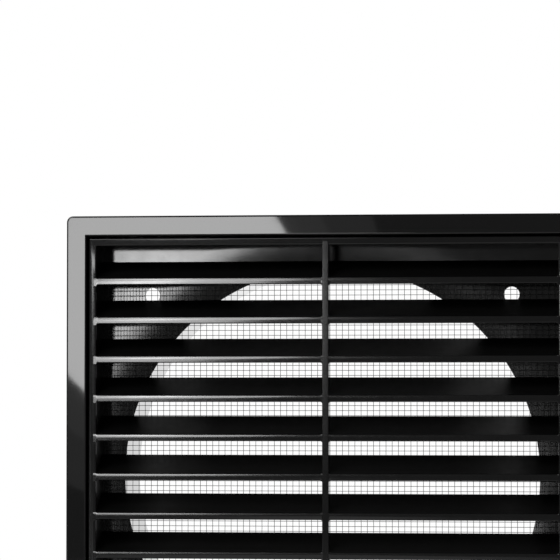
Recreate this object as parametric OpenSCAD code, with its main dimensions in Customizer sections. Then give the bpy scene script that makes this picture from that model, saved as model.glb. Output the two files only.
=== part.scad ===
// Square louvred wall vent with a round duct spigot.
// Every piece is drawn lying on its back, wall face down and front up, then stood upright.
// The finished part has its wall face on the plane y = 0, its front towards -Y and its top towards +Z.
// The origin is the centre of the wall face, on the axis of the duct.

/* [Frame] */
// Outer width and height of the square frame
frame_size = 150; // [140:0.5:200]
// Depth from the wall to the front face
frame_depth = 18.5; // [16:0.5:30]
// Width of the flat face around the louvres
face_w = 5.8; // [5.5:0.1:8]
// Radius of the frame's outer corners
corner_r = 1.8; // [1.6:0.1:2.2]
// Rounding of the face's outer and inner edges
edge_r = 0.8; // [0.4:0.1:1.2]
// Wall thickness of the frame moulding
frame_wall = 1.5; // [1.2:0.1:1.6]
// Stiffening ribs along each side of the frame's hollow edge
ribs_per_side = 3; // [1:1:5]
// Thickness of a stiffening rib
rib_t = 1.2; // [0.8:0.1:2]
// How far the ribs stop short of the wall
rib_setback = 1; // [0.5:0.1:3]

/* [Back plate and duct] */
// Thickness of the back plate
plate_t = 2; // [1.5:0.1:3]
// Bore of the duct that the spigot slides into
duct_bore = 125; // [110:0.5:128]
// Clearance all round between the spigot and the duct
duct_gap = 0.5; // [0.2:0.1:1]
// Wall thickness of the spigot
spigot_wall = 1.5; // [1:0.1:2]
// Length of the spigot behind the wall face
spigot_len = 25; // [12:0.5:60]
// Lead-in chamfer around the spigot's free end
spigot_chamfer = 0.7; // [0.3:0.1:0.9]
// Diameter of a screw hole
screw_d = 4.5; // [3:0.1:6]
// Distance between neighbouring screw holes
screw_pitch = 105; // [102:0.5:112]

/* [Louvre panel] */
// Dark groove between the frame and the panel
groove_w = 0.65; // [0.4:0.05:1]
// Width of the panel's rim at the front
rim_w = 2.2; // [2:0.05:3]
// Width of the panel's rim at the back plate, after the moulding draft
rim_back_w = 1.5; // [1.2:0.05:1.9]
// Rounding of the rim's front edges
rim_edge_r = 0.5; // [0.3:0.05:0.8]
// How far the rim's face slopes back towards the louvres
rim_drop = 0.06; // [0.04:0.01:0.3]
// How far the upright bar's crown lies behind the frame's face
panel_setback = 0.2; // [0:0.1:1]
// How far the lips lie behind the bar's crown
lip_setback = 0.1; // [0.05:0.05:0.4]
// How far the lips stand in front of the rim that they run across
lip_proud = 0.05; // [0.03:0.01:0.1]
// How far the lips' ends stop short of the rim's outer side
lip_end_gap = 0.35; // [0.2:0.05:0.8]
// Number of blades
blade_count = 11; // [8:1:12]
// Height of a blade's front lip
lip_h = 2; // [1.6:0.1:2.6]
// Rounding of a lip's upper and lower edges
lip_edge_r = 0.3; // [0.2:0.05:0.75]
// Height of a blade's back edge
blade_back_t = 1.3; // [0.8:0.1:1.6]
// Height of the top of a blade's back edge above the foot of its lip
blade_rise = 7.1; // [5:0.1:8]
// Distance from the frame's face to the back edges of the blades
blade_depth = 13.5; // [10:0.1:14]
// Width of the upright bar across the blades
bar_w = 1.9; // [1.4:0.1:3]
// Depth of the upright bar
bar_depth = 4; // [2.5:0.1:6]
// Radius of the fillets where the lips meet the rim and the bar
fillet_r = 0.9; // [0.4:0.1:1.4]

/* [Snap fastening] */
// Height of each snap above and below the middle of the frame
snap_offset = 25; // [15:1:45]
// Length of a snap ridge
snap_len = 8; // [4:0.5:14]
// Radius of a snap ridge
snap_r = 1.1; // [1:0.05:1.3]
// Clearance of a snap ridge in its window
snap_gap = 0.2; // [0.1:0.05:0.4]

/* [Insect mesh] */
// Clearance between the mesh and the rim at the left and right
mesh_side_gap = 0.5; // [0.2:0.1:2]
// Clearance between the mesh and the rim at the top and bottom
mesh_end_gap = 4.5; // [0.2:0.1:5]
// Thickness of the sheet
mesh_t = 0.4; // [0.3:0.05:0.6]
// Width of a bar, which stands for several strands
mesh_bar_w = 1; // [0.4:0.1:2]
// Gaps across the sheet
mesh_columns = 10; // [6:1:10]
// Gaps up the sheet
mesh_rows = 12; // [6:1:12]

/* [Hidden] */
$fn = 96;

// Overlap that fuses shapes of one moulding, and runs cutters past the faces they cut
bite = 0.2;

// Frame
frame_half = frame_size / 2;
tray_half = frame_half - face_w;
tray_outer_half = tray_half + frame_wall;
corner_centre = frame_half - corner_r;
side_len = 2 * corner_centre;
rib_top = frame_depth - frame_wall / 2;
rib_span = frame_half - tray_outer_half;
rib_step = side_len / (ribs_per_side + 1);

// Spigot
spigot_outer_r = duct_bore / 2 - duct_gap;
spigot_inner_r = spigot_outer_r - spigot_wall;
screw_at = screw_pitch / 2;

// Louvre panel
panel_half = tray_half - groove_w;
panel_front = frame_depth - panel_setback;
inner_half = panel_half - rim_w;
inner_back_half = panel_half - rim_back_w;
lip_front = panel_front - lip_setback;
rim_outer_z = lip_front - lip_proud - rim_edge_r;
rim_inner_z = rim_outer_z - rim_drop;
rim_face_angle = atan2(rim_drop, rim_w - 2 * rim_edge_r);
blade_back_z = frame_depth - blade_depth;
blade_pitch = (2 * inner_half + lip_h) / (blade_count + 1);
blade_half = panel_half - lip_end_gap;
bar_round_z = panel_front - bar_w / 2;

// Blade section: its upper and lower faces run tangent from the rounded edges of the lip
lip_round_z = lip_front - lip_edge_r;
lip_top_round = lip_h - lip_edge_r;
blade_run = lip_round_z - blade_back_z;
top_climb = blade_rise - lip_top_round;
under_climb = blade_rise - blade_back_t - lip_edge_r;
top_angle = atan2(top_climb, blade_run) - asin(lip_edge_r / norm([blade_run, top_climb]));
under_angle = atan2(under_climb, blade_run) + asin(lip_edge_r / norm([blade_run, under_climb]));

// Snaps
snap_z = plate_t + snap_r + 2 * snap_gap;
snap_x = panel_half;

// Mesh
mesh_front = blade_back_z;
mesh_w = 2 * (inner_half - mesh_side_gap);
mesh_h = 2 * (inner_half - mesh_end_gap);
column_step = (mesh_w - mesh_bar_w) / mesh_columns;
row_step = (mesh_h - mesh_bar_w) / mesh_rows;

// Stands a piece up from its back: local x, y, z become X, Z, -Y
module upright() {
    rotate([90, 0, 0]) children();
}

// One copy of the children on each of the four sides
module on_each_side() {
    for (turn = [0 : 90 : 270]) {
        rotate(turn) children();
    }
}

// Square ring between two half widths, from height z0 to z1
module square_ring(outer_half, hole_half, z0, z1) {
    translate([0, 0, z0]) linear_extrude(z1 - z0) difference() {
        square(2 * outer_half, center = true);
        square(2 * hole_half, center = true);
    }
}

// Section of the frame's outer wall with its rounded front edge, x from the corner's centre outwards
module outer_wall_section() {
    difference() {
        union() {
            square([corner_r, frame_depth - edge_r]);
            square([corner_r - edge_r, frame_depth]);
            translate([corner_r - edge_r, frame_depth - edge_r]) circle(edge_r);
        }
        translate([-bite, -bite]) square([corner_r - frame_wall + bite, frame_depth - frame_wall + bite]);
        translate([-2 * edge_r, -bite]) square([2 * edge_r, frame_depth + 2 * bite]);
    }
}

// Outer wall: four straight runs and four rounded corners
module outer_wall() {
    on_each_side() {
        translate([corner_centre, 0, 0]) rotate([90, 0, 0])
            linear_extrude(side_len, center = true) outer_wall_section();
        translate([corner_centre, corner_centre, 0])
            rotate_extrude(angle = 90) outer_wall_section();
    }
}

// Mitred cutter that rounds the inner edge of one side of the face
module inner_edge_cutter() {
    reach = tray_half + edge_r;
    intersection() {
        rotate([90, 0, 0]) linear_extrude(2 * reach, center = true) difference() {
            translate([tray_half - bite, frame_depth - edge_r]) square([edge_r + bite, edge_r + bite]);
            translate([reach, frame_depth - edge_r]) circle(edge_r);
        }
        linear_extrude(2 * frame_depth) polygon([[0, 0], [reach, -reach], [reach, reach]]);
    }
}

// Ribs across the hollow edge of one side
module side_ribs() {
    for (i = [1 : ribs_per_side]) {
        translate([tray_outer_half - bite, i * rib_step - side_len / 2 - rib_t / 2, rib_setback])
            cube([rib_span - frame_wall + 2 * bite, rib_t, rib_top - rib_setback]);
    }
}

// Spigot wall, with a chamfered free end
module spigot() {
    rotate_extrude() polygon([
        [spigot_inner_r, plate_t],
        [spigot_inner_r, -spigot_len],
        [spigot_outer_r - spigot_chamfer, -spigot_len],
        [spigot_outer_r, spigot_chamfer - spigot_len],
        [spigot_outer_r, plate_t]
    ]);
}

// The four screw holes through the back plate
module screw_holes() {
    for (x = [-screw_at, screw_at]) {
        for (y = [-screw_at, screw_at]) {
            translate([x, y, -bite]) cylinder(d = screw_d, h = plate_t + 2 * bite);
        }
    }
}

// Places children at the four snaps, two on the left side and two on the right
module at_snaps() {
    for (side = [0, 180]) {
        for (y = [-snap_offset, snap_offset]) {
            rotate(side) translate([snap_x, y, snap_z]) children();
        }
    }
}

// One moulding: outer wall, face, tray wall, back plate and spigot
module base_frame() {
    color("#141414") upright() difference() {
        union() {
            outer_wall();
            square_ring(corner_centre, tray_half, frame_depth - frame_wall, frame_depth);
            square_ring(tray_outer_half, tray_half, 0, frame_depth - frame_wall);
            on_each_side() side_ribs();
            translate([0, 0, plate_t / 2])
                cube([2 * tray_half + bite, 2 * tray_half + bite, plate_t], center = true);
            spigot();
        }
        translate([0, 0, -bite]) cylinder(r = spigot_inner_r, h = plate_t + 2 * bite);
        on_each_side() inner_edge_cutter();
        screw_holes();
        at_snaps() translate([groove_w - bite, -snap_len / 2 - snap_gap, -snap_r - snap_gap])
            cube([frame_wall + 2 * bite, snap_len + 2 * snap_gap, 2 * (snap_r + snap_gap)]);
    }
}

// Section of one side of the rim and skirt, x outwards from the panel's centre
module rim_section() {
    outer_x = panel_half - rim_edge_r;
    inner_x = inner_half + rim_edge_r;
    lean = rim_edge_r * sin(rim_face_angle);
    rise = rim_edge_r * cos(rim_face_angle);
    polygon([
        [inner_back_half, plate_t],
        [panel_half, plate_t],
        [panel_half, rim_outer_z],
        [outer_x - lean, rim_outer_z + rise],
        [inner_x - lean, rim_inner_z + rise],
        [inner_half, rim_inner_z]
    ]);
    translate([outer_x, rim_outer_z]) circle(rim_edge_r);
    translate([inner_x, rim_inner_z]) circle(rim_edge_r);
}

// One mitred side of the rim and skirt
module rim_side() {
    reach = 2 * panel_half;
    intersection() {
        rotate([90, 0, 0]) linear_extrude(2 * panel_half, center = true) rim_section();
        linear_extrude(2 * frame_depth) polygon([[0, 0], [reach, -reach], [reach, reach]]);
    }
}

// Blade section, x up from the foot of the lip and y towards the front
module blade_section() {
    polygon([
        [lip_top_round + lip_edge_r * cos(top_angle), lip_round_z + lip_edge_r * sin(top_angle)],
        [blade_rise, blade_back_z],
        [blade_rise - blade_back_t, blade_back_z],
        [lip_edge_r - lip_edge_r * cos(under_angle), lip_round_z - lip_edge_r * sin(under_angle)],
        [lip_edge_r, lip_front],
        [lip_top_round, lip_front]
    ]);
    for (x = [lip_edge_r, lip_top_round]) {
        translate([x, lip_round_z]) circle(lip_edge_r);
    }
}

// Height of the foot of a lip, counted down from the top
function lip_y(i) = inner_half - i * blade_pitch;

// Concave fillets above and below one lip, in the corner at x = 0 and running towards +X
module lip_fillets() {
    for (side = [0, 1]) {
        translate([0, lip_h / 2, lip_round_z - fillet_r]) mirror([0, side, 0])
            translate([0, lip_h / 2, 0]) linear_extrude(fillet_r) difference() {
                translate([-bite, -bite]) square(fillet_r + bite);
                translate([fillet_r, fillet_r]) circle(fillet_r);
            }
    }
}

// All blades, each with its fillets
module blades() {
    for (i = [1 : blade_count]) {
        translate([0, lip_y(i), 0]) {
            rotate([90, 0, 90]) linear_extrude(2 * blade_half, center = true) blade_section();
            for (turn = [0, 1]) {
                mirror([turn, 0, 0]) {
                    translate([bar_w / 2, 0, 0]) lip_fillets();
                    translate([inner_half, 0, 0]) mirror([1, 0, 0]) lip_fillets();
                }
            }
        }
    }
}

// Upright bar with a half-round front
module upright_bar() {
    rotate([-90, 0, 0]) linear_extrude(2 * inner_half + rim_w, center = true) union() {
        translate([-bar_w / 2, -bar_round_z]) square([bar_w, bar_depth - bar_w / 2]);
        translate([0, -bar_round_z]) circle(d = bar_w);
    }
}

// One moulding: rim with its skirt, blades, upright bar and snap ridges
module louvre_panel() {
    color("#171717") upright() {
        on_each_side() rim_side();
        blades();
        upright_bar();
        at_snaps() rotate([90, 0, 0]) cylinder(r = snap_r, h = snap_len, center = true);
    }
}

// Woven sheet, drawn with one bar for several strands
module insect_mesh() {
    color("#3a3a3a") upright() translate([0, 0, mesh_front - mesh_t]) linear_extrude(mesh_t) {
        for (i = [0 : mesh_columns]) {
            translate([i * column_step - mesh_w / 2, -mesh_h / 2]) square([mesh_bar_w, mesh_h]);
        }
        for (i = [0 : mesh_rows]) {
            translate([-mesh_w / 2, i * row_step - mesh_h / 2]) square([mesh_w, mesh_bar_w]);
        }
    }
}

base_frame();
louvre_panel();
insect_mesh();
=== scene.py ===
from math import asin, atan2, cos, degrees, hypot, pi, radians, sin, sqrt, tan

import bmesh
import bpy
from mathutils import Matrix, Vector


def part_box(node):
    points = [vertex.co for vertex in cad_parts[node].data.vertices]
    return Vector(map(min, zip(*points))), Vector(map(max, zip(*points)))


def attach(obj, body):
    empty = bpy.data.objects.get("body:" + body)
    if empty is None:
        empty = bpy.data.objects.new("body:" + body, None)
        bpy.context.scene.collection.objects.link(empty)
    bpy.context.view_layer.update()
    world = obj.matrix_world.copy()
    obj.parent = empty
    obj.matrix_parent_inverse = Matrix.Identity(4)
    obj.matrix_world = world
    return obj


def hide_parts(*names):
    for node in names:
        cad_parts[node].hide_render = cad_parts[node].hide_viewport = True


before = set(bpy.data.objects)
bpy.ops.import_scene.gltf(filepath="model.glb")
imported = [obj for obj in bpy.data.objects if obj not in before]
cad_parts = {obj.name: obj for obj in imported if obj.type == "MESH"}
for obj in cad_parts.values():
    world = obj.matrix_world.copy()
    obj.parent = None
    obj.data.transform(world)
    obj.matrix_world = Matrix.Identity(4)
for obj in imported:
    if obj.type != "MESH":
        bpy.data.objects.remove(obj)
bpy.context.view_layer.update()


# Base frame
# One black ABS moulding: a hollow square edge with ribs inside, a back plate that is screwed to the
# wall through its four holes, and the round spigot that plugs into the duct.

# Sizes are in millimetres, and sections are drawn with the piece on its back, its front upwards.
MM = 0.001
frame_low, frame_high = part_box("base_frame")
frame_half = frame_high.x / MM
frame_depth = -frame_low.y / MM
face_w = 5.8
tray_half = frame_half - face_w
wall = 1.5
corner_r = 1.8
edge_r = 0.5
moulded_edge_r = 0.15
edge_steps = 8
small_steps = 3
merge_within = 0.002


def upright(x, y, z):
    """Place in metres, once the piece stands up, of a point that is drawn with it on its back."""
    return Vector((x, -z, y)) * MM


def arc(middle_x, middle_z, radius, start, end, steps):
    """Points on a round edge from one angle to another, in degrees."""
    angles = [radians(start + (end - start) * i / steps) for i in range(steps + 1)]
    return [(middle_x + radius * cos(a), middle_z + radius * sin(a)) for a in angles]


def as_piece(name, mesh_data):
    """Turns bmesh data into an object at the origin, with its doubles merged and faces outwards."""
    bmesh.ops.remove_doubles(mesh_data, verts=mesh_data.verts, dist=merge_within * MM)
    bmesh.ops.recalc_face_normals(mesh_data, faces=mesh_data.faces)
    mesh = bpy.data.meshes.new(name)
    mesh_data.to_mesh(mesh)
    mesh_data.free()
    piece = bpy.data.objects.new(name, mesh)
    bpy.context.scene.collection.objects.link(piece)
    return piece


def bridge(mesh_data, rings, closed):
    """Joins rings of as many points into a skin, and caps both ends of an open run."""
    following_rings = rings[1:] + rings[:1] if closed else rings[1:]
    for ring, following in zip(rings, following_rings):
        for i in range(len(ring)):
            j = (i + 1) % len(ring)
            mesh_data.faces.new((ring[i], ring[j], following[j], following[i]))
    if not closed:
        mesh_data.faces.new(rings[0])
        mesh_data.faces.new(rings[-1])


def square_sweep(name, section, round_from, corner_steps):
    """Sweeps a closed section, given as distance from the middle and height, round a square."""
    mesh_data = bmesh.new()
    rings = []
    for quarter in range(4):
        turned = radians(90 * quarter)
        for step in range(corner_steps + 1):
            swing = radians(90 * step / max(corner_steps, 1))
            ring = []
            for distance, z in section:
                beyond = max(distance - round_from, 0)
                x = distance - beyond + beyond * cos(swing)
                y = distance - beyond + beyond * sin(swing)
                ring.append(mesh_data.verts.new(upright(
                    x * cos(turned) - y * sin(turned), x * sin(turned) + y * cos(turned), z)))
            rings.append(ring)
    bridge(mesh_data, rings, closed=True)
    return as_piece(name, mesh_data)


foot_z = moulded_edge_r
edge_z = frame_depth - edge_r
edge_section = (
    arc(tray_half + moulded_edge_r, foot_z, moulded_edge_r, 270, 180, small_steps)
    + arc(tray_half + edge_r, edge_z, edge_r, 180, 90, edge_steps)
    + [(frame_half - corner_r, frame_depth)]
    + arc(frame_half - edge_r, edge_z, edge_r, 90, 0, edge_steps)
    + arc(frame_half - moulded_edge_r, foot_z, moulded_edge_r, 0, -90, small_steps)
    + arc(frame_half - wall + moulded_edge_r, foot_z, moulded_edge_r, 270, 180, small_steps)
    + [(frame_half - wall, frame_depth - wall), (tray_half + wall, frame_depth - wall)]
    + arc(tray_half + wall - moulded_edge_r, foot_z, moulded_edge_r, 0, -90, small_steps))
hollow_edge = square_sweep("hollow_edge", edge_section, frame_half - corner_r, edge_steps)

plate_t = 2
spigot_len = frame_high.y / MM
spigot_outer_r = 62
spigot_inner_r = 60.5
spigot_chamfer = 0.7
spigot_steps = 192


def turned_ring(name, section, steps):
    """Turns a closed section, given as radius and height, once round the duct's axis."""
    mesh_data = bmesh.new()
    rings = []
    for step in range(steps):
        angle = 2 * pi * step / steps
        rings.append([mesh_data.verts.new(upright(r * cos(angle), r * sin(angle), z))
                      for r, z in section])
    bridge(mesh_data, rings, closed=True)
    return as_piece(name, mesh_data)


spigot = turned_ring(
    "spigot",
    [(spigot_inner_r, plate_t)]
    + arc(spigot_inner_r + moulded_edge_r, moulded_edge_r - spigot_len, moulded_edge_r, 180, 270,
          small_steps)
    + [(spigot_outer_r - spigot_chamfer, -spigot_len),
       (spigot_outer_r, spigot_chamfer - spigot_len), (spigot_outer_r, plate_t)],
    spigot_steps)

# Joined pieces bite this far into each other, and cutting tools run out this far past their work.
bite = 0.2
overrun = 1


def block(name, low, high):
    """A block between two corners."""
    mesh_data = bmesh.new()
    rings = []
    for z in (low[2], high[2]):
        corners = ((low[0], low[1]), (high[0], low[1]), (high[0], high[1]), (low[0], high[1]))
        rings.append([mesh_data.verts.new(upright(x, y, z)) for x, y in corners])
    bridge(mesh_data, rings, closed=False)
    return as_piece(name, mesh_data)


def plate_drill(name, middle, radius, steps):
    """A round rod that stands through the back plate, to cut a hole in it."""
    mesh_data = bmesh.new()
    rings = []
    for z in (-overrun, plate_t + overrun):
        rings.append([mesh_data.verts.new(upright(
            middle[0] + radius * cos(2 * pi * i / steps),
            middle[1] + radius * sin(2 * pi * i / steps), z)) for i in range(steps)])
    bridge(mesh_data, rings, closed=False)
    return as_piece(name, mesh_data)


def evaluated(piece):
    """Keeps what a piece's modifiers make as its plain mesh, and removes them."""
    graph = bpy.context.evaluated_depsgraph_get()
    result = bpy.data.meshes.new_from_object(piece.evaluated_get(graph), depsgraph=graph)
    piece.modifiers.clear()
    piece.data = result


def fused(name, base, changes):
    """Adds pieces to a base or cuts them out of it, one after another, and removes them."""
    for operation, tool in changes:
        step = base.modifiers.new(tool.name, "BOOLEAN")
        step.operation = operation
        step.solver = "EXACT"
        step.object = tool
    evaluated(base)
    for _, tool in changes:
        bpy.data.objects.remove(tool)
    base.name = name
    return base


plate_half = tray_half + bite
plate = block("back_plate", (-plate_half, -plate_half, 0), (plate_half, plate_half, plate_t))
duct_hole = plate_drill("duct_hole", (0, 0), (spigot_outer_r + spigot_inner_r) / 2, spigot_steps)
fused("back_plate", plate, [("DIFFERENCE", duct_hole)])


def add_node(tree, kind, settings=None, inputs=None):
    """Adds a node with its settings and its inputs, each a value or another node's output."""
    node = tree.nodes.new(kind)
    for setting, value in (settings or {}).items():
        setattr(node, setting, value)
    for socket, value in (inputs or {}).items():
        if isinstance(value, bpy.types.NodeSocket):
            tree.links.new(value, node.inputs[socket])
        else:
            node.inputs[socket].default_value = value
    return node


def open_tree(name, named_inputs):
    """A Geometry Nodes tree with named inputs, and its group input node."""
    tree = bpy.data.node_groups.new(name, "GeometryNodeTree")
    tree.interface.new_socket("Geometry", in_out="OUTPUT", socket_type="NodeSocketGeometry")
    for label, kind in named_inputs.items():
        tree.interface.new_socket(label, in_out="INPUT", socket_type=kind)
    return tree, tree.nodes.new("NodeGroupInput")


def close_tree(tree, geometry, material):
    """Ends a tree in Realize Instances and Set Material."""
    solid = add_node(tree, "GeometryNodeRealizeInstances", inputs={"Geometry": geometry})
    painted = add_node(tree, "GeometryNodeSetMaterial", inputs={
        "Geometry": solid.outputs["Geometry"], "Material": material})
    add_node(tree, "NodeGroupOutput", inputs={"Geometry": painted.outputs["Geometry"]})


def baked(piece, tree, values):
    """Runs a tree on a piece and keeps the result as its plain mesh."""
    modifier = piece.modifiers.new(tree.name, "NODES")
    modifier.node_group = tree
    sockets = {item.name: item.identifier
               for item in tree.interface.items_tree if item.in_out == "INPUT"}
    for label, value in values.items():
        modifier[sockets[label]] = value
    evaluated(piece)


def repeat_tree():
    """Copies of a piece along a line, and that row again at equal turns round the duct's axis."""
    tree, given = open_tree("repeat_moulded_detail", {
        "Piece": "NodeSocketGeometry", "Count": "NodeSocketInt", "First": "NodeSocketVector",
        "Step": "NodeSocketVector", "Turns": "NodeSocketInt", "Material": "NodeSocketMaterial"})
    row = add_node(tree, "GeometryNodeMeshLine", {"mode": "OFFSET"}, {
        "Count": given.outputs["Count"], "Start Location": given.outputs["First"],
        "Offset": given.outputs["Step"]})
    copies = add_node(tree, "GeometryNodeInstanceOnPoints", inputs={
        "Points": row.outputs["Mesh"], "Instance": given.outputs["Piece"]})
    sides = add_node(tree, "GeometryNodeMeshLine", {"mode": "OFFSET"}, {
        "Count": given.outputs["Turns"], "Offset": (0, 0, 0)})
    index = add_node(tree, "GeometryNodeInputIndex")
    share = add_node(tree, "ShaderNodeMath", {"operation": "DIVIDE"}, {
        0: index.outputs["Index"], 1: given.outputs["Turns"]})
    angle = add_node(tree, "ShaderNodeMath", {"operation": "MULTIPLY"}, {
        0: share.outputs["Value"], 1: 2 * pi})
    turn = add_node(tree, "ShaderNodeCombineXYZ", inputs={"Y": angle.outputs["Value"]})
    rows = add_node(tree, "GeometryNodeInstanceOnPoints", inputs={
        "Points": sides.outputs["Mesh"], "Instance": copies.outputs["Instances"],
        "Rotation": turn.outputs["Vector"]})
    close_tree(tree, rows.outputs["Instances"], given.outputs["Material"])
    return tree


repeated = repeat_tree()

screw_d = 4.5
screw_pitch = 105
screw_steps = 48
screw_at = screw_pitch / 2
screw_hole = plate_drill("screw_hole", (screw_at, screw_at), screw_d / 2, screw_steps)
baked(screw_hole, repeated, {"Count": 1, "Turns": 4})

# Four small windows in the inner side walls, where the panel's snap ridges rest.
snap_z = 3.5
snap_offset = 25
window_len = 8.4
window_h = 2.6
window_overrun = 0.15
window = block("snap_window",
               (tray_half - wall / 2, -window_len / 2, snap_z - window_h / 2),
               (tray_half + wall + window_overrun, window_len / 2, snap_z + window_h / 2))
snap_places = {
    "Count": 2, "First": upright(0, -snap_offset, 0), "Step": upright(0, 2 * snap_offset, 0),
    "Turns": 2}
baked(window, repeated, snap_places)

# Ribs that stiffen the hollow edge from inside.
rib_t = 1.2
ribs_per_side = 3
rib_setback = 1
rib_step = 2 * (frame_half - corner_r) / (ribs_per_side + 1)
rib = block("rib",
            (tray_half + wall - bite, -rib_t / 2, rib_setback),
            (frame_half - wall + bite, rib_t / 2, frame_depth - wall + bite))
baked(rib, repeated, {
    "Count": ribs_per_side, "First": upright(0, -rib_step, 0), "Step": upright(0, rib_step, 0),
    "Turns": 4})

# As it cools, the plate sinks a little towards the thick root of the spigot, in a shallow dish.
sink_reach = 75
sink_depth = 0.47
sink_steps = 12
sink_from = spigot_inner_r - overrun
sink_radii = [sink_from + i * (sink_reach - sink_from) / sink_steps for i in range(sink_steps + 1)]
sink_section = [
    (r, plate_t - sink_depth * ((sink_reach - r) / (sink_reach - spigot_inner_r)) ** 2)
    for r in sink_radii]
sink = turned_ring(
    "sink_round_spigot", sink_section + [(sink_from, plate_t + overrun)], spigot_steps)

base = fused("vent_base_frame", hollow_edge, [
    ("UNION", rib), ("UNION", plate), ("UNION", spigot),
    ("DIFFERENCE", screw_hole), ("DIFFERENCE", window), ("DIFFERENCE", sink)])

abs_blacks = ("#0b0b0b", "#0e0e0e")
abs_ior = 1.53
shrink_wave = 14
skin_patch = 3
roughness_spread = 0.3
sharp_from = 30


def linear(code):
    """Linear colour of an sRGB hex code."""
    values = [int(code[i:i + 2], 16) / 255 for i in (1, 3, 5)]
    return (*[v / 12.92 if v <= 0.04045 else ((v + 0.055) / 1.055) ** 2.4 for v in values], 1)


def black_abs(name, roughness, waviness_um, shine=0.5, clear_skin=0.0):
    """Black ABS as a steel mould leaves it: near black, with the long low waves of shrinkage in its
    flats and small patches where the skin is a little duller and paler. Both soften reflections."""
    material = bpy.data.materials.new(name)
    material.use_nodes = True
    tree = material.node_tree
    tree.nodes.clear()
    place = add_node(tree, "ShaderNodeTexCoord")
    waves = add_node(tree, "ShaderNodeTexNoise", inputs={
        "Vector": place.outputs["Object"], "Scale": 1 / (shrink_wave * MM),
        "Detail": 1.0, "Roughness": 0.4})
    wave_bump = add_node(tree, "ShaderNodeBump", inputs={
        "Height": waves.outputs["Fac"], "Strength": 1.0, "Distance": waviness_um * MM * MM})
    skin = add_node(tree, "ShaderNodeTexNoise", inputs={
        "Vector": place.outputs["Object"], "Scale": 1 / (skin_patch * MM), "Detail": 3.0})
    sheen = add_node(tree, "ShaderNodeMapRange", inputs={
        "Value": skin.outputs["Fac"], "To Min": roughness * (1 - roughness_spread),
        "To Max": roughness * (1 + roughness_spread)})
    tint = add_node(tree, "ShaderNodeMix", {"data_type": "RGBA"}, {
        "Factor": skin.outputs["Fac"], "A": linear(abs_blacks[0]), "B": linear(abs_blacks[1])})
    plastic = add_node(tree, "ShaderNodeBsdfPrincipled", inputs={
        "Base Color": tint.outputs["Result"], "Roughness": sheen.outputs["Result"],
        "IOR": abs_ior, "Specular IOR Level": shine, "Coat Weight": clear_skin,
        "Normal": wave_bump.outputs["Normal"]})
    add_node(tree, "ShaderNodeOutputMaterial", inputs={"Surface": plastic.outputs["BSDF"]})
    return material


def smooth_moulding(piece, material):
    """Gives a piece its main finish, and smooth round edges between flats that stay flat."""
    piece.data.materials.clear()
    piece.data.materials.append(material)
    piece.data.shade_smooth()
    piece.data.set_sharp_from_angle(angle=radians(sharp_from))
    # The modifier drops faces under a square centimetre, so it works on the piece a thousand times
    # enlarged.
    piece.data.transform(Matrix.Scale(1 / MM, 4))
    flats = piece.modifiers.new("flats stay flat", "WEIGHTED_NORMAL")
    flats.keep_sharp = True
    flats.weight = 100
    flats.thresh = 0.1
    evaluated(piece)
    piece.data.transform(Matrix.Scale(MM, 4))


def refinished(piece, material, chosen):
    """Gives faces a finish of their own, chosen by their place beside, above and in front."""
    piece.data.materials.append(material)
    for face in piece.data.polygons:
        if chosen(abs(face.center.x) / MM, abs(face.center.z) / MM, -face.center.y / MM):
            face.material_index = len(piece.data.materials) - 1


# Polished steel made the face and the outside: they mirror the lamps with clean edges.
frame_abs = black_abs("abs_black_polished_mould", roughness=0.02, waviness_um=3)
smooth_moulding(base, frame_abs)

# The plate's mould was only smoothed: its reflections are blurred at their edges.
plate_abs = black_abs("abs_black_satin_mould", roughness=0.1, waviness_um=4)
dish_low = plate_t - sink_depth - bite
refinished(base, plate_abs, lambda beside, above, front: (
    max(beside, above) < tray_half - bite and dish_low < front < plate_t + bite))

# Eroded steel leaves a fine texture on the inner side walls: they mirror nothing and stay dark.
textured_abs = black_abs("abs_black_textured_mould", roughness=0.35, waviness_um=4, shine=0.2)
refinished(base, textured_abs, lambda beside, above, front: (
    max(beside, above) < tray_half + bite and plate_t + bite < front < edge_z - bite))

# The bore slid off a polished core: it mirrors the white behind it. Its clear skin reflects more
# than bare ABS does, and stands for a background that is brighter than white.
bore_abs = black_abs("abs_black_mirror_mould", roughness=0.02, waviness_um=0, clear_skin=1.0)
refinished(base, bore_abs, lambda beside, above, front: (
    hypot(beside, above) < spigot_inner_r + bite and front < dish_low))

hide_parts("base_frame")
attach(base, "root")


# Louvre panel
# One black ABS moulding that snaps into the frame: a square rim with its skirt, eleven sloping
# blades whose crowned lips blend into it, and one upright bar that keeps them from bowing.

panel_low, panel_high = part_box("louvre_panel")
panel_half = panel_high.z / MM
panel_front = -panel_low.y / MM
rim_w = 2.2
rim_back_w = 1.5
rim_edge_r = 0.5
rim_drop = 0.06
lip_setback = 0.1
lip_proud = 0.05

inner_half = panel_half - rim_w
lip_front = panel_front - lip_setback
rim_outer_z = lip_front - lip_proud - rim_edge_r
rim_inner_z = rim_outer_z - rim_drop
rim_lean = degrees(atan2(rim_drop, rim_w - 2 * rim_edge_r))
rim_section = (
    [(panel_half - rim_back_w, plate_t), (panel_half, plate_t)]
    + arc(panel_half - rim_edge_r, rim_outer_z, rim_edge_r, 0, 90 + rim_lean, edge_steps)
    + arc(inner_half + rim_edge_r, rim_inner_z, rim_edge_r, 90 + rim_lean, 180, edge_steps))
rim = square_sweep("rim", rim_section, panel_half, 0)

# The blades are thickest at their rounded lips, and the lips spread in small fillets at both ends.
blade_count = 11
blade_rise = 7.1
blade_back_z = 5
blade_back_t = 1.3
blade_stations = 12
lip_h = 2
lip_edge_r = 0.3
lip_sag = 1.4
lip_end_gap = 1.42
crown_from = 0.9
crown_r = 22
crown_steps = 4
bar_w = 1.9
fillet_r = 0.6
fillet_depth = 2.5
fillet_steps = 6
upper_fillet_share = 0.35
seam_clear = 0.03

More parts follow.
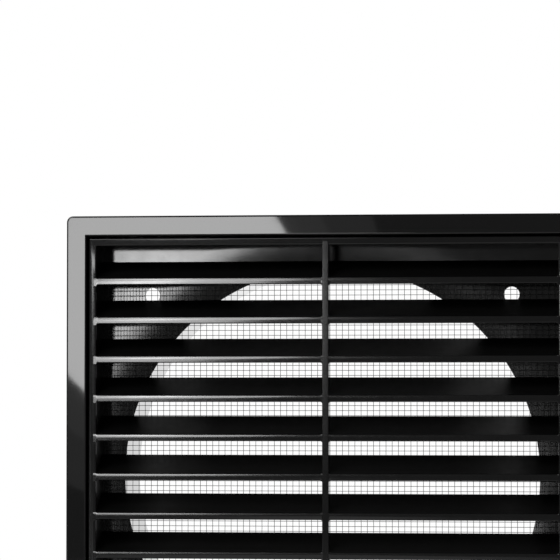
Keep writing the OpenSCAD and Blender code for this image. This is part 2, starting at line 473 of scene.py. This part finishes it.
lip_round_z = lip_front - lip_edge_r
lip_top_round = lip_h - lip_edge_r
blade_run = lip_round_z - blade_back_z
top_climb = blade_rise - lip_top_round
under_climb = blade_rise - blade_back_t - lip_edge_r
top_angle = degrees(
    atan2(top_climb, blade_run) - asin(lip_edge_r / hypot(blade_run, top_climb)))
under_angle = degrees(
    atan2(under_climb, blade_run) + asin(lip_edge_r / hypot(blade_run, under_climb)))
crown_run = lip_top_round - crown_from
crown_drop = crown_run ** 2 / (2 * crown_r)
crown_lean = degrees(crown_run / crown_r)


def lip_flare(x):
    """How far a lip's edges spread at a place across the panel, beside the rim or the bar."""
    x = abs(x)
    reach = min(max(inner_half - x, 0), max(x - bar_w / 2, 0))
    return fillet_r - sqrt(fillet_r ** 2 - (fillet_r - min(reach, fillet_r)) ** 2)


def blade_ring(mesh_data, x):
    """The blade's section at a place across the panel, counted up from the foot of its lip."""
    flare = lip_flare(x)
    sag = tan(radians(lip_sag * (1 - min(abs(x) / inner_half, 1))))
    outline = (
        [(blade_rise, blade_back_z), (blade_rise - blade_back_t, blade_back_z)]
        + arc(lip_edge_r, lip_round_z, lip_edge_r, 180 + under_angle, 90, edge_steps)
        + [(crown_from + crown_run * i / crown_steps,
            lip_front - crown_drop * (i / crown_steps) ** 2) for i in range(crown_steps)]
        + arc(lip_top_round, lip_round_z - crown_drop, lip_edge_r, 90 - crown_lean, top_angle,
              edge_steps))
    ring = []
    for y, z in outline:
        depth = lip_front - z
        spread = flare * max(1 - depth / fillet_depth, 0) ** 2
        side = upper_fillet_share if y > lip_h / 2 else -1
        lean = sag * max(lip_h - y, 0)
        ring.append(mesh_data.verts.new(upright(x, y + side * spread, z - lean)))
    return ring


def blade(name):
    """One blade across the panel, with stations close together where its lip spreads. None of
    them lies in a face of the rim or the bar, where the union would leave open edges."""
    fillet_stations = [-seam_clear] + [
        fillet_r * (1 - cos(radians(90 * i / fillet_steps))) for i in range(1, fillet_steps + 1)]
    half = sorted(
        {round(bar_w / 2 + s, 4) for s in fillet_stations}
        | {round(inner_half - s, 4) for s in fillet_stations}
        | {round(inner_half * i / blade_stations, 4) for i in range(1, blade_stations)}
        | {panel_half - lip_end_gap})
    mesh_data = bmesh.new()
    rings = [blade_ring(mesh_data, x) for x in [-x for x in reversed(half)] + half]
    bridge(mesh_data, rings, closed=False)
    return as_piece(name, mesh_data)


blade_pitch = (2 * inner_half + lip_h) / (blade_count + 1)
slat = blade("blade")
baked(slat, repeated, {
    "Count": blade_count, "First": upright(0, inner_half - blade_count * blade_pitch, 0),
    "Step": upright(0, blade_pitch, 0), "Turns": 1})

# The bar's front is nearly flat, between two small rounded edges.
bar_depth = 4
bar_crown_r = 600
bar_edge_r = 0.25


def straight_run(name, section, length):
    """Runs a closed section, given as place across and height, straight up the panel."""
    mesh_data = bmesh.new()
    rings = [[mesh_data.verts.new(upright(x, y, z)) for x, z in section]
             for y in (-length / 2, length / 2)]
    bridge(mesh_data, rings, closed=False)
    return as_piece(name, mesh_data)


bar_crown_z = panel_front - bar_crown_r
bar_edge_x = bar_w / 2 - bar_edge_r
bar_swing = degrees(asin(bar_edge_x / (bar_crown_r - bar_edge_r)))
bar_edge_z = bar_crown_z + (bar_crown_r - bar_edge_r) * cos(radians(bar_swing))
bar_section = (
    [(bar_w / 2, panel_front - bar_depth), (-bar_w / 2, panel_front - bar_depth)]
    + arc(-bar_edge_x, bar_edge_z, bar_edge_r, 180, 90 + bar_swing, edge_steps)
    + arc(0, bar_crown_z, bar_crown_r, 90 + bar_swing, 90 - bar_swing, edge_steps)[1:-1]
    + arc(bar_edge_x, bar_edge_z, bar_edge_r, 90 - bar_swing, 0, edge_steps))
bar = straight_run("upright_bar", bar_section, 2 * inner_half + rim_w)

# Round ridges on the skirt, which snap into the frame's windows.
snap_r = 1.1
snap_len = 8
snap_steps = 24
ridge_section = arc(panel_half, snap_z, snap_r, 0, 360, snap_steps)[:-1]
ridge = straight_run("snap_ridge", ridge_section, snap_len)
baked(ridge, repeated, snap_places)

panel = fused("vent_louvre_panel", rim, [("UNION", slat), ("UNION", bar), ("UNION", ridge)])

# Finely ground steel made the rim and the lips: their highlights are soft along the rounded edges.
panel_abs = black_abs("abs_black_gloss_mould", roughness=0.07, waviness_um=4)
smooth_moulding(panel, panel_abs)

# Behind their glossy lips the blades have the texture that the frame's inner walls have.
gloss_depth = 1.2
refinished(panel, textured_abs, lambda beside, above, front: (
    plate_t + bite < front < lip_front - gloss_depth))

# The bar is a touch glossier than the lips: its flat front is bright at the top and dark below.
bar_abs = black_abs("abs_black_semi_gloss_mould", roughness=0.06, waviness_um=4)
bar_margin = 0.05
refinished(panel, bar_abs, lambda beside, above, front: (
    beside < bar_w / 2 + bar_margin and above < inner_half
    and front > panel_front - bar_edge_r - bite))

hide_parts("louvre_panel")
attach(panel, "root")


# Insect mesh
# A plain-woven screen of grey coated glass fibre, cut to size and held flat against the back edges
# of the blades. Each strand passes over one neighbour and under the next.

mesh_low, mesh_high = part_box("insect_mesh")
strand_r = 0.08
strands_across = 73
strands_up = 85
strand_sides = 5
coat_patch = 1.5


def strand_set(tree, given, along, across, lift):
    """Strands that run along one axis, side by side on the other, each waving over and under."""
    size = {"X": given.outputs["Width"], "Z": given.outputs["Height"]}
    counts = {"X": given.outputs["Strands Across"], "Z": given.outputs["Strands Up"]}
    pitch = {axis: add_node(tree, "ShaderNodeMath", {"operation": "DIVIDE"}, {
        0: size[axis], 1: counts[axis]}).outputs["Value"] for axis in "XZ"}
    half = {axis: add_node(tree, "ShaderNodeMath", {"operation": "MULTIPLY"}, {
        0: size[axis], 1: 0.5}).outputs["Value"] for axis in "XZ"}
    knots = add_node(tree, "ShaderNodeMath", {"operation": "ADD"}, {0: counts[along], 1: 2.0})
    strand_step = add_node(tree, "ShaderNodeCombineXYZ", inputs={along: pitch[along]})
    strand = add_node(tree, "GeometryNodeMeshLine", {"mode": "OFFSET"}, {
        "Count": knots.outputs["Value"], "Offset": strand_step.outputs["Vector"]})
    # Strands start half a gap outside the sheet, and the outermost lies half a gap inside it.
    first = {}
    for axis, pitches_in in ((along, -0.5), (across, 0.5)):
        edge = add_node(tree, "ShaderNodeMath", {"operation": "MULTIPLY"}, {
            0: half[axis], 1: -1.0})
        first[axis] = add_node(tree, "ShaderNodeMath", {"operation": "MULTIPLY_ADD"}, {
            0: pitch[axis], 1: pitches_in, 2: edge.outputs["Value"]}).outputs["Value"]
    start = add_node(tree, "ShaderNodeCombineXYZ", inputs=first)
    row_step = add_node(tree, "ShaderNodeCombineXYZ", inputs={across: pitch[across]})
    row = add_node(tree, "GeometryNodeMeshLine", {"mode": "OFFSET"}, {
        "Count": counts[across], "Start Location": start.outputs["Vector"],
        "Offset": row_step.outputs["Vector"]})
    placed = add_node(tree, "GeometryNodeInstanceOnPoints", inputs={
        "Points": row.outputs["Mesh"], "Instance": strand.outputs["Mesh"]})
    strands = add_node(tree, "GeometryNodeRealizeInstances", inputs={
        "Geometry": placed.outputs["Instances"]})

    # The ends are trimmed to the sheet, and each point lifts by its count of crossings.
    place = add_node(tree, "GeometryNodeInputPosition")
    corner = add_node(tree, "ShaderNodeCombineXYZ", inputs={"X": half["X"], "Z": half["Z"]})
    opposite = add_node(tree, "ShaderNodeVectorMath", {"operation": "SCALE"}, {
        0: corner.outputs["Vector"], "Scale": -1.0})
    below = add_node(tree, "ShaderNodeVectorMath", {"operation": "MINIMUM"}, {
        0: place.outputs["Position"], 1: corner.outputs["Vector"]})
    trimmed = add_node(tree, "ShaderNodeVectorMath", {"operation": "MAXIMUM"}, {
        0: below.outputs["Vector"], 1: opposite.outputs["Vector"]})
    parts = add_node(tree, "ShaderNodeSeparateXYZ", inputs={"Vector": trimmed.outputs["Vector"]})
    crossings = []
    for axis in "XZ":
        from_edge = add_node(tree, "ShaderNodeMath", {"operation": "ADD"}, {
            0: parts.outputs[axis], 1: half[axis]})
        crossings.append(add_node(tree, "ShaderNodeMath", {"operation": "DIVIDE"}, {
            0: from_edge.outputs["Value"], 1: pitch[axis]}).outputs["Value"])
    total = add_node(tree, "ShaderNodeMath", {"operation": "ADD"}, {
        0: crossings[0], 1: crossings[1]})
    phase = add_node(tree, "ShaderNodeMath", {"operation": "MULTIPLY"}, {
        0: total.outputs["Value"], 1: pi})
    side = add_node(tree, "ShaderNodeMath", {"operation": "COSINE"}, {0: phase.outputs["Value"]})
    lifted = add_node(tree, "ShaderNodeMath", {"operation": "MULTIPLY"}, {
        0: side.outputs["Value"], 1: given.outputs["Strand Radius"]})
    signed = add_node(tree, "ShaderNodeMath", {"operation": "MULTIPLY"}, {
        0: lifted.outputs["Value"], 1: lift})
    wave = add_node(tree, "ShaderNodeCombineXYZ", inputs={"Y": signed.outputs["Value"]})
    moved = add_node(tree, "GeometryNodeSetPosition", inputs={
        "Geometry": strands.outputs["Geometry"], "Position": trimmed.outputs["Vector"],
        "Offset": wave.outputs["Vector"]})
    path = add_node(tree, "GeometryNodeMeshToCurve", inputs={"Mesh": moved.outputs["Geometry"]})
    profile = add_node(tree, "GeometryNodeCurvePrimitiveCircle", inputs={
        "Resolution": given.outputs["Strand Sides"], "Radius": given.outputs["Strand Radius"]})
    return add_node(tree, "GeometryNodeCurveToMesh", inputs={
        "Curve": path.outputs["Curve"], "Profile Curve": profile.outputs["Curve"],
        "Fill Caps": True})


def weave_tree():
    """A plain-woven sheet in the X-Z plane, made of two sets of waving strands."""
    tree, given = open_tree("plain_weave", {
        "Start": "NodeSocketGeometry", "Width": "NodeSocketFloat", "Height": "NodeSocketFloat",
        "Strands Across": "NodeSocketInt", "Strands Up": "NodeSocketInt",
        "Strand Radius": "NodeSocketFloat", "Strand Sides": "NodeSocketInt",
        "Middle": "NodeSocketVector", "Material": "NodeSocketMaterial"})
    warp = strand_set(tree, given, "Z", "X", 1.0)
    weft = strand_set(tree, given, "X", "Z", -1.0)
    both = add_node(tree, "GeometryNodeJoinGeometry")
    for part in (weft, warp):
        tree.links.new(part.outputs["Mesh"], both.inputs["Geometry"])
    smooth = add_node(tree, "GeometryNodeSetShadeSmooth", inputs={
        "Geometry": both.outputs["Geometry"]})
    seated = add_node(tree, "GeometryNodeTransform", inputs={
        "Geometry": smooth.outputs["Geometry"], "Translation": given.outputs["Middle"]})
    close_tree(tree, seated.outputs["Geometry"], given.outputs["Material"])
    return tree


def coated_strand():
    """Grey coated glass fibre, drawn and woven: a soft sheen, a little uneven along each strand."""
    material = bpy.data.materials.new("coated_strand_woven")
    material.use_nodes = True
    tree = material.node_tree
    tree.nodes.clear()
    place = add_node(tree, "ShaderNodeTexCoord")
    uneven = add_node(tree, "ShaderNodeTexNoise", inputs={
        "Vector": place.outputs["Object"], "Scale": 1 / (coat_patch * MM), "Detail": 2.0})
    tint = add_node(tree, "ShaderNodeMix", {"data_type": "RGBA"}, {
        "Factor": uneven.outputs["Fac"], "A": linear("#2a2a2a"), "B": linear("#3a3a3a")})
    strand = add_node(tree, "ShaderNodeBsdfPrincipled", inputs={
        "Base Color": tint.outputs["Result"], "Roughness": 0.45, "IOR": 1.5})
    add_node(tree, "ShaderNodeOutputMaterial", inputs={"Surface": strand.outputs["BSDF"]})
    return material


seed_data = bmesh.new()
seed_data.verts.new((0, 0, 0))
screen = as_piece("vent_insect_mesh", seed_data)
mesh_size = mesh_high - mesh_low
baked(screen, weave_tree(), {
    "Width": mesh_size.x, "Height": mesh_size.z, "Strands Across": strands_across,
    "Strands Up": strands_up, "Strand Radius": strand_r * MM, "Strand Sides": strand_sides,
    "Middle": (mesh_low + mesh_high) / 2, "Material": coated_strand()})
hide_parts("insect_mesh")
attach(screen, "root")


# Studio
# A pale floor under the vent, a white background behind it and a camera at the photograph's angle.
# One softbox at the front left lights it, and round ones stand where its flats mirror them.

# Floor, in metres. It fades to white between two distances from its middle, and in reflections
# between two distances behind the vent. To the camera it glows a little, which keeps it pale.
floor_half = 1.0
fade_from, fade_to = 0.35, 0.95
white_from, white_to = 0.3, 0.6
card_lift = 0.5

floor_data = bmesh.new()
floor_corners = ((-1, -1), (1, -1), (1, 1), (-1, 1))
floor_data.faces.new([floor_data.verts.new((x * floor_half, y * floor_half, frame_low.z))
                      for x, y in floor_corners])
floor = as_piece("studio_floor", floor_data)

# Matt white card: it takes a soft shadow, fades to plain white away from the vent, and is white in
# reflections where it lies behind it.
floor_paint = bpy.data.materials.new("matt_white_card")
floor_paint.use_nodes = True
tree = floor_paint.node_tree
tree.nodes.clear()
place = add_node(tree, "ShaderNodeTexCoord")
from_middle = add_node(tree, "ShaderNodeVectorMath", {"operation": "LENGTH"}, {
    0: place.outputs["Object"]})
fade = add_node(tree, "ShaderNodeMapRange", {"interpolation_type": "SMOOTHSTEP"}, {
    "Value": from_middle.outputs["Value"], "From Min": fade_from, "From Max": fade_to})
rays = add_node(tree, "ShaderNodeLightPath")
seen = add_node(tree, "ShaderNodeMath", {"operation": "MULTIPLY"}, {
    0: rays.outputs["Is Camera Ray"], 1: fade.outputs["Result"]})
parts = add_node(tree, "ShaderNodeSeparateXYZ", inputs={"Vector": place.outputs["Object"]})
behind = add_node(tree, "ShaderNodeMapRange", {"interpolation_type": "SMOOTHSTEP"}, {
    "Value": parts.outputs["Y"], "From Min": white_from, "From Max": white_to})
mirrored_white = add_node(tree, "ShaderNodeMath", {"operation": "MULTIPLY"}, {
    0: rays.outputs["Is Glossy Ray"], 1: behind.outputs["Result"]})
whiteness = add_node(tree, "ShaderNodeMath", {"operation": "MAXIMUM"}, {
    0: seen.outputs["Value"], 1: mirrored_white.outputs["Value"]})
card = add_node(tree, "ShaderNodeBsdfPrincipled", inputs={
    "Base Color": linear("#e6e6e6"), "Roughness": 0.8, "Specular IOR Level": 0.0})
paleness = add_node(tree, "ShaderNodeMath", {"operation": "MULTIPLY"}, {
    0: rays.outputs["Is Camera Ray"], 1: card_lift})
pale = add_node(tree, "ShaderNodeEmission", inputs={
    "Color": (1, 1, 1, 1), "Strength": paleness.outputs["Value"]})
lit_card = add_node(tree, "ShaderNodeAddShader", inputs={
    0: card.outputs["BSDF"], 1: pale.outputs["Emission"]})
white = add_node(tree, "ShaderNodeEmission", inputs={"Color": (1, 1, 1, 1), "Strength": 1.0})
mixed = add_node(tree, "ShaderNodeMixShader", inputs={
    0: whiteness.outputs["Value"], 1: lit_card.outputs["Shader"], 2: white.outputs["Emission"]})
add_node(tree, "ShaderNodeOutputMaterial", inputs={"Surface": mixed.outputs["Shader"]})
floor.data.materials.append(floor_paint)

# The room is dim, and behind the vent a white wall stands up to a low height. Both go by how far a
# direction points behind the vent, and the wall also by how far it points up.
room_light = 0.15
room_light_behind = 0.015
behind_from = -0.05
room_ends = 0.4
wall_is_full = 0.35
wall_top_from, wall_top_to = 0.28, 0.5

world = bpy.data.worlds.new("studio")
bpy.context.scene.world = world
world.use_nodes = True
tree = world.node_tree
tree.nodes.clear()
direction = add_node(tree, "ShaderNodeTexCoord")
parts = add_node(tree, "ShaderNodeSeparateXYZ", inputs={"Vector": direction.outputs["Generated"]})
room = add_node(tree, "ShaderNodeMapRange", {"interpolation_type": "SMOOTHSTEP"}, {
    "Value": parts.outputs["Y"], "From Min": behind_from, "From Max": room_ends,
    "To Min": room_light, "To Max": room_light_behind})
wall_side = add_node(tree, "ShaderNodeMapRange", {"interpolation_type": "SMOOTHSTEP"}, {
    "Value": parts.outputs["Y"], "From Min": behind_from, "From Max": wall_is_full})
wall_height = add_node(tree, "ShaderNodeMapRange", {"interpolation_type": "SMOOTHSTEP"}, {
    "Value": parts.outputs["Z"], "From Min": wall_top_from, "From Max": wall_top_to,
    "To Min": 1.0, "To Max": 0.0})
wall_light = add_node(tree, "ShaderNodeMath", {"operation": "MULTIPLY"}, {
    0: wall_side.outputs["Result"], 1: wall_height.outputs["Result"]})
surroundings = add_node(tree, "ShaderNodeMath", {"operation": "MAXIMUM"}, {
    0: room.outputs["Result"], 1: wall_light.outputs["Value"]})
rays = add_node(tree, "ShaderNodeLightPath")
strength = add_node(tree, "ShaderNodeMath", {"operation": "MAXIMUM"}, {
    0: rays.outputs["Is Camera Ray"], 1: surroundings.outputs["Value"]})
backdrop = add_node(tree, "ShaderNodeBackground", inputs={
    "Color": (1, 1, 1, 1), "Strength": strength.outputs["Value"]})
add_node(tree, "ShaderNodeOutputWorld", inputs={"Surface": backdrop.outputs["Background"]})

# Camera, in millimetres from the middle of the frame's front, and in degrees.
camera_x = 95.7
camera_up = 23.4
camera_distance = 928
camera_yaw = 6.68
camera_pitch = 2.019
focal_px = 3266
photo_px = 560
sensor_w = 36

camera = bpy.data.cameras.new("camera")
camera.sensor_width = sensor_w
camera.lens = focal_px / photo_px * sensor_w
camera_object = bpy.data.objects.new("camera", camera)
camera_object.location = Vector((camera_x, -(frame_depth + camera_distance), camera_up)) * MM
camera_object.rotation_euler = (radians(90 + camera_pitch), 0, radians(camera_yaw))
bpy.context.scene.collection.objects.link(camera_object)
bpy.context.scene.camera = camera_object


def mirrored(azimuth, elevation, distance):
    """Place of a lamp that a flat front mirrors to the camera from that direction, in metres."""
    on_face = Vector((camera_x + camera_distance * tan(radians(azimuth)), 0,
                      camera_up + camera_distance * tan(radians(elevation))))
    stretch = distance / camera_distance
    return Vector((on_face.x + (on_face.x - camera_x) * stretch, -frame_depth - distance,
                   on_face.z + (on_face.z - camera_up) * stretch)) * MM


def soft_light(name, place, width, height, radiance, shape):
    """An area light of a given radiance that faces the vent."""
    lamp = bpy.data.lights.new(name, "AREA")
    lamp.shape = shape
    lamp.size = width
    lamp.size_y = height
    area = width * height * (pi / 4 if shape == "DISK" else 1)
    lamp.energy = radiance * area * pi
    lamp_object = bpy.data.objects.new(name, lamp)
    lamp_object.location = place
    lamp_object.rotation_euler = (-place).to_track_quat("-Z", "Y").to_euler()
    bpy.context.scene.collection.objects.link(lamp_object)


# Of each round lamp: azimuth and elevation in degrees, distance and diameter, and radiance. The
# spill and the halo lie behind the cloth and let its light fade out.
round_lamps = {
    "softbox_cloth": (-8.6, 1.8, 4000, 398, 8.5),
    "softbox_spill": (-8.6, 1.8, 4040, 520, 0.14),
    "softbox_halo": (-8.6, 1.8, 4080, 670, 0.21),
    "softbox_glow": (-8.9, 4.6, 3960, 170, 14.0),
    "softbox_lamp": (-8.9, 1.8, 3920, 120, 14.0)}
for lamp_name, (azimuth, elevation, distance, diameter, radiance) in round_lamps.items():
    soft_light(lamp_name, mirrored(azimuth, elevation, distance), diameter * MM, diameter * MM,
               radiance, "DISK")

# Key softbox, in metres.
key_place = (-0.75, -0.95, 0.95)
key_w, key_h = 0.9, 0.7
key_radiance = 6
soft_light("key_softbox", Vector(key_place), key_w, key_h, key_radiance, "RECTANGLE")

bpy.context.scene.view_settings.view_transform = "Standard"
